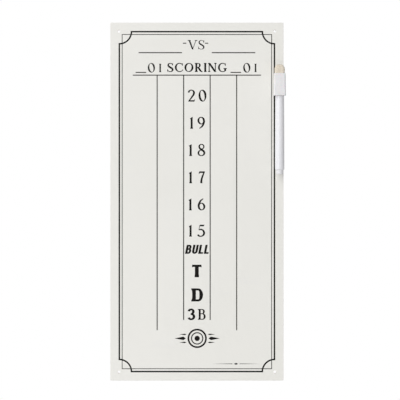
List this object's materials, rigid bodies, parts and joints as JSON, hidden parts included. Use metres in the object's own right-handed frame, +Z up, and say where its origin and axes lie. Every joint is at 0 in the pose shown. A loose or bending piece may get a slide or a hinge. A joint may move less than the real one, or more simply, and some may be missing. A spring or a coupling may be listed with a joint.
{
  "type": "darts scoring board",
  "caption": "Wall-hung dry-wipe scoring board with printed score columns, screw holes in its corners, and a capped marker with a felt eraser held by hook-and-loop pads.",
  "frame": {"origin": "centre of the board's flat back face, which lies against the wall", "axes": "+X to the right seen from the front, +Y out of the back face into the wall, +Z up along the board's length"},
  "size_m": [0.1927, 0.0192, 0.3938],
  "materials": {
    "backing": "matte",
    "hardboard": "matte",
    "laminate": "satin",
    "ink": "satin",
    "adhesive": "matte",
    "hook_tape": "matte",
    "loop_tape": "matte",
    "cap_plastic": "satin",
    "seal_plastic": "satin",
    "felt": "matte",
    "barrel_plastic": "gloss",
    "plug_plastic": "satin",
    "holder_plastic": "satin",
    "nib_fibre": "matte",
    "reservoir_fibre": "matte",
    "film": "gloss"
  },
  "bodies": {
    "board": {"rear_backing": "backing", "board_core": "hardboard", "writing_laminate": "laminate", "border_print": "ink", "grid_print": "ink", "hook_pad_adhesive": "adhesive", "hook_pad": "hook_tape"},
    "cap": {"loop_pad": "loop_tape", "loop_pad_adhesive": "adhesive", "marker_cap": "cap_plastic", "cap_inner_seal": "seal_plastic", "felt_eraser": "felt"},
    "marker": {"marker_barrel": "barrel_plastic", "end_plug": "plug_plastic", "nib_holder": "holder_plastic", "nib": "nib_fibre", "ink_reservoir": "reservoir_fibre", "reservoir_film": "film"}
  },
  "joints": [
    {"name": "cap_lift_off", "type": "slide", "parent": "board", "child": "cap", "axis": [0, -1, 0], "range_m": [0, 0.06]},
    {"name": "marker_pull_out", "type": "slide", "parent": "cap", "child": "marker", "axis": [0, 0, -1], "range_m": [0, 0.06]}
  ]
}
